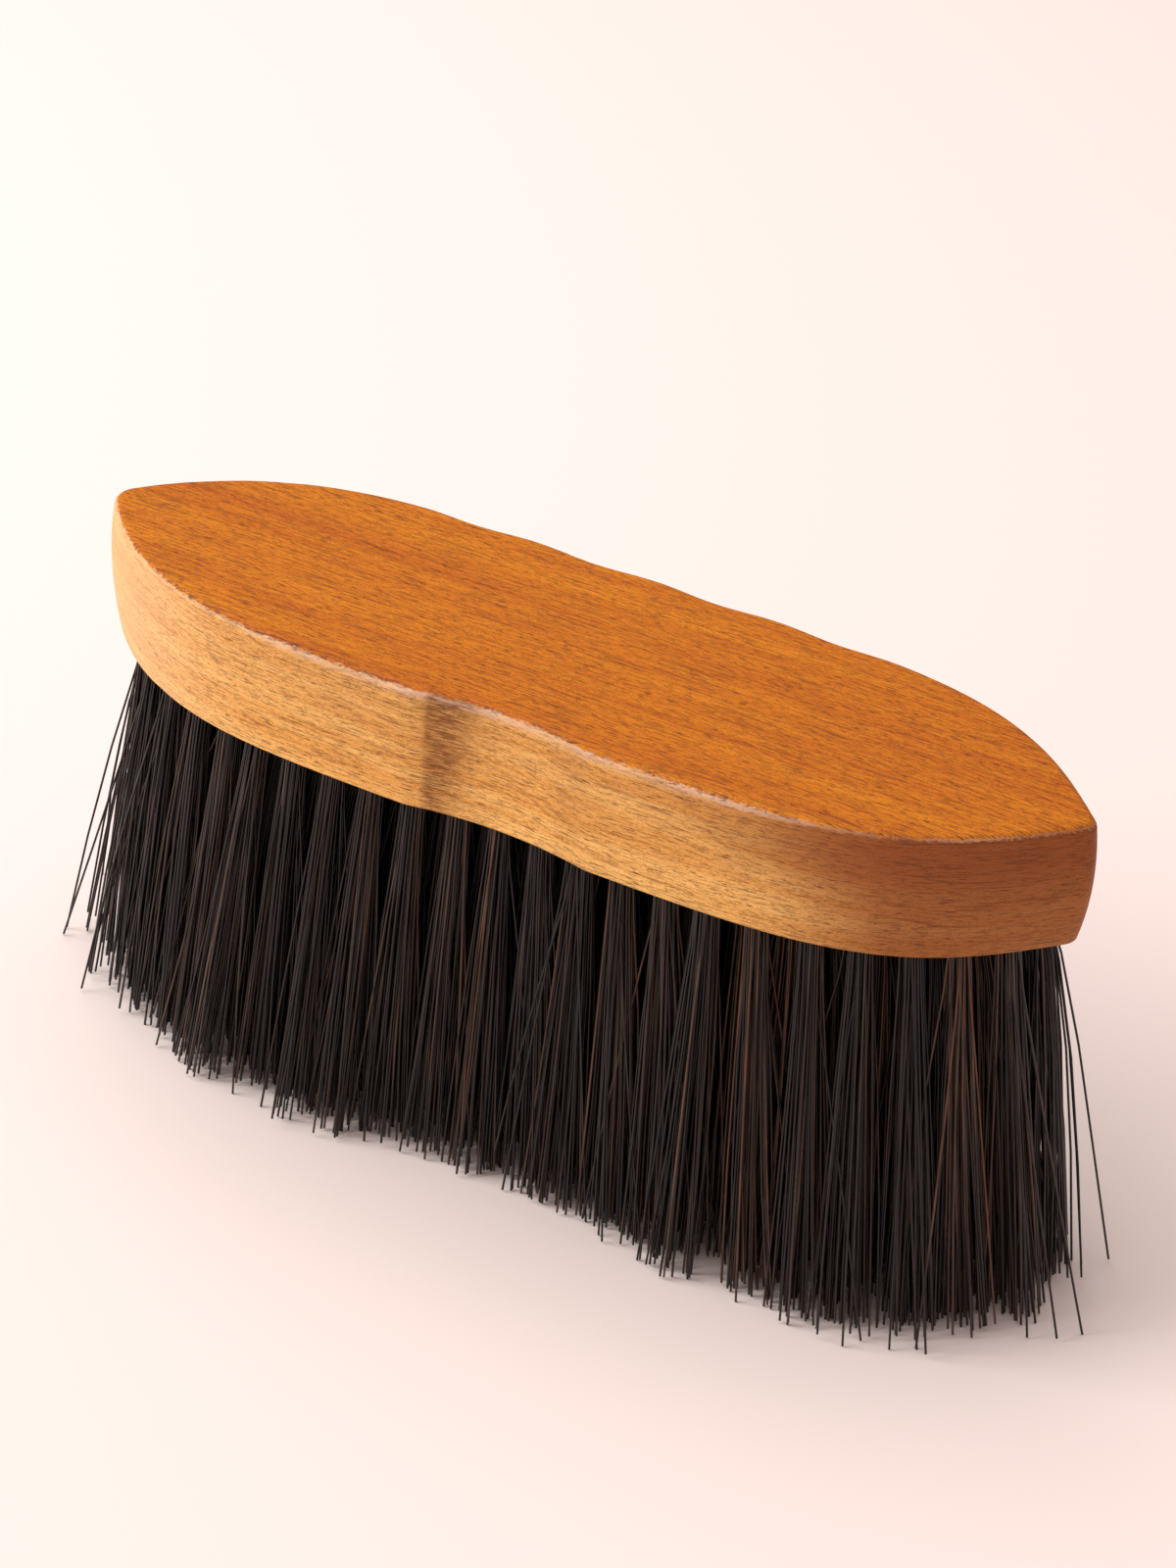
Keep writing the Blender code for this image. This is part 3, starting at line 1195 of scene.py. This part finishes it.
@dataclass
class TuftRank:
    """One rank of tufts across the brush, with the wire anchors that hold it."""

    number: int
    x: float
    plan: Plan
    material: bpy.types.Material
    wire: bpy.types.Material
    filament_radius: float = 0.225 * MM
    cap_weld: float = 0.001 * MM
    crease: float = math.radians(70)
    anchor_length: float = 5.8 * MM
    anchor_width: float = 1.7 * MM
    anchor_thickness: float = 0.3 * MM
    anchor_bevel: float = 0.06 * MM
    loose_rank: int = 14
    # the loose filament's shade: a grey filament colour, and painted highlight for the light it
    # catches
    loose_grey_and_highlight: float = 0.89
    dark_shades: Pair = (0.0, 0.88)
    brown_shades: Pair = (0.93, 1.0)
    brown_from: float = 20 * MM
    brown_over: float = 65 * MM
    brown_tufts: float = 0.40
    brown_in_tuft: float = 0.30
    brown_elsewhere: float = 0.004
    sprung_at_end: float = 0.09
    end_margin: float = 2 * MM
    right_from: float = 25 * MM
    right_over: float = 60 * MM
    right_out: float = 3.6 * MM
    right_forward: float = 4.6 * MM
    left_from: float = 55 * MM
    left_over: float = 35 * MM
    left_in: float = 2.0 * MM
    front_share: float = 0.55
    front_over: float = 40 * MM

    def build(self) -> list[bpy.types.Object]:
        """Model the filaments and the anchors of the rank.

        Returns:
            The piece of all its filaments and the piece of all its anchors.
        """
        rng = np.random.default_rng(SEED + self.number)
        browning = self.brown_tufts * share_of(self.x, self.brown_from, self.brown_over)
        at_end = abs(self.x) > self.plan.end_rank_x - self.end_margin
        sprung = self.sprung_at_end if at_end else 0.0
        tufts = []
        roots = self.plan.roots(self.x)
        for row, root in enumerate(roots):
            brown = self.brown_in_tuft if rng.random() < browning else self.brown_elsewhere
            tufts.append(Tuft(root, self.plan.lean(root), self.set_aside(root), rng, brown,
                              sprung, inner=0 < row < len(roots) - 1, hidden=row > 0,
                              loose=self.number == self.loose_rank and row == 0))
        return [self.filament_piece(tufts, rng), self.anchor_piece(tufts)]

    def set_aside(self, root: Vector) -> Vector:
        """Work out how far use has bent a tuft: out at the right end, in at the left.

        Args:
            root: the tuft's root point.

        Returns:
            The sideways travel of its tips.
        """
        right = share_of(root.x, self.right_from, self.right_over)
        left = share_of(-root.x, self.left_from, self.left_over)
        front = share_of(self.front_share - root.y / self.front_over, 0.0, 1.0)
        return Vector((self.right_out * right * right + self.left_in * left,
                       -self.right_forward * right * front, 0))

    def filament_piece(self, tufts: list[Tuft], rng: np.random.Generator) -> bpy.types.Object:
        """Draw every filament as a round wire and make the rank one mesh.

        Args:
            tufts: the tufts of the rank.
            rng: the rank's own run of random numbers, for the shades.

        Returns:
            The finished piece.
        """
        curve = bpy.data.curves.new(f"filaments_{self.number:02d}", "CURVE")
        curve.dimensions = "3D"
        curve.bevel_depth = self.filament_radius
        curve.bevel_resolution = 1
        curve.use_fill_caps = True
        shades = []
        for tuft in tufts:
            for path in tuft.filaments():
                spline = curve.splines.new("POLY")
                spline.points.add(len(path) - 1)
                spline.points.foreach_set("co", [c for place in path for c in (*place, 1.0)])
                brown = rng.random() < tuft.brown_share
                shades.append(rng.uniform(*(self.brown_shades if brown else self.dark_shades)))
            # the loose filament takes the full grey: its own lighter colour, plus painted
            # highlight for the light it catches
            if tuft.loose:
                shades[-1] = self.loose_grey_and_highlight
        drawn = add_object("drawn", curve)
        mesh = baked(drawn)
        bpy.data.objects.remove(drawn)
        each = len(mesh.vertices) // len(shades)
        held = mesh.attributes.new("shade", "FLOAT", "POINT")
        held.data.foreach_set("value", np.repeat(np.array(shades, np.float32), each))
        bm = bmesh.new()
        bm.from_mesh(mesh)
        bmesh.ops.remove_doubles(bm, verts=bm.verts, dist=self.cap_weld)
        mesh = made_mesh(curve.name, bm)
        mesh.materials.append(self.material)
        mesh.shade_smooth()
        mesh.set_sharp_from_angle(angle=self.crease)
        piece = add_object(f"bristles_{self.number:02d}", mesh)
        return hand_over(piece, Slot.BRISTLE, f"tuft_rank_{self.number:02d}")

    def anchor_piece(self, tufts: list[Tuft]) -> bpy.types.Object:
        """Make the flat wire anchors, which bite into the wall of each hole.

        Args:
            tufts: the tufts of the rank.

        Returns:
            The finished piece.
        """
        bm = bmesh.new()
        for tuft in tufts:
            verts = bmesh.ops.create_cube(bm, size=1.0)["verts"]
            lying = Matrix.Rotation(tuft.yaw, 3, "Z")
            tilt = UP.rotation_difference(UP - tuft.lean).to_matrix()
            bmesh.ops.scale(bm, verts=verts,
                            vec=(self.anchor_length, self.anchor_thickness, self.anchor_width))
            bmesh.ops.rotate(bm, verts=verts, cent=(0, 0, 0), matrix=lying)
            bmesh.ops.rotate(bm, verts=verts, cent=(0, 0, 0), matrix=tilt)
            bmesh.ops.translate(bm, verts=verts,
                                vec=tuft.local(0, 0, tuft.anchor_depth - self.anchor_width / 2))
        bmesh.ops.bevel(bm, geom=bm.edges[:], offset=self.anchor_bevel, offset_type="OFFSET",
                        affect="EDGES", segments=1, profile=0.5, material=-1)
        mesh = made_mesh("anchors", bm)
        mesh.materials.append(self.wire)
        return hand_over(add_object(f"anchors_{self.number:02d}", mesh), Slot.WIRE)


# ---------------------------------------------------------------------- studio


@dataclass(frozen=True)
class Lamp:
    """A soft square lamp that faces the brush."""

    name: str
    place: Triple
    size: float
    power: float
    colour: Triple


@dataclass
class Studio:
    """Pale table, soft light and the camera."""

    table_size: float = 3.0
    key: Lamp = Lamp("key_light", (-1.90, -1.00, 1.20), 1.4, 46.0, (1.0, 0.955, 0.93))
    top: Lamp = Lamp("top_light", (-0.5, 0.2, 1.5), 1.2, 10.4, (1.0, 0.96, 0.94))
    lit_point: Vector = field(default_factory=lambda: Vector((0, 0, 0.06)))
    sky_colour: Colour = (1.0, 0.81, 0.77, 1)
    sky_strength: float = 0.53
    camera_place: Vector = field(default_factory=lambda: Vector((0.2853, -0.5360, 0.4732)))
    camera_target: Vector = field(default_factory=lambda: Vector((-0.0126, 0.0302, 0.0512)))
    camera_roll: float = math.radians(3.485)
    lens: float = 89.33
    sensor_width: float = 36.0
    nearest: float = 10 * MM

    def build(self) -> None:
        """Set up the table, the lamps and the camera."""
        bm = bmesh.new()
        bmesh.ops.create_grid(bm, x_segments=1, y_segments=1, size=self.table_size / 2)
        mesh = made_mesh("table", bm)
        mesh.materials.append(TableFinish().material())
        add_object("table", mesh)
        self.hang(self.key)
        self.hang(self.top)
        world = bpy.data.worlds.new("studio")
        world.use_nodes = True
        sky = world.node_tree.nodes["Background"]
        sky.inputs["Color"].default_value = self.sky_colour
        sky.inputs["Strength"].default_value = self.sky_strength
        bpy.context.scene.world = world
        bpy.context.scene.view_settings.view_transform = "Standard"
        self.camera()

    def hang(self, lamp: Lamp) -> None:
        """Hang one lamp.

        Args:
            lamp: its place, size, power and colour.
        """
        light = bpy.data.lights.new(lamp.name, "AREA")
        light.size = lamp.size
        light.energy = lamp.power
        light.color = lamp.colour
        hung = add_object(lamp.name, light)
        hung.location = lamp.place
        aim = self.lit_point - Vector(lamp.place)
        hung.rotation_euler = aim.to_track_quat("-Z", "Y").to_euler()

    def camera(self) -> None:
        """Place the camera."""
        data = bpy.data.cameras.new("camera")
        data.lens = self.lens
        data.sensor_width = self.sensor_width
        data.clip_start = self.nearest
        camera = add_object("camera", data)
        aim = (self.camera_target - self.camera_place).to_track_quat("-Z", "Y")
        turned = aim.to_matrix().to_4x4() @ Matrix.Rotation(self.camera_roll, 4, "Z")
        camera.matrix_world = Matrix.Translation(self.camera_place) @ turned
        bpy.context.scene.camera = camera


def main() -> None:
    """Build the brush and its studio."""
    logging.basicConfig(level=logging.INFO, format="%(message)s")
    LOG.info("frame: %d nodes", len(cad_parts))
    low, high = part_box("block")
    plan = Plan(length=high.x - low.x, root_z=low.z, top_z=high.z)
    block = Block(plan, WoodFinish()).build()
    LOG.info("%s: %d faces", block.name, len(block.data.polygons))
    bristle = BristleFinish().material()
    wire = WireFinish().material()
    for number, x in enumerate(plan.ranks(), start=1):
        for piece in TuftRank(number, x, plan, bristle, wire).build():
            LOG.info("%s: %d faces", piece.name, len(piece.data.polygons))
    Studio().build()


if __name__ == "__main__":
    main()
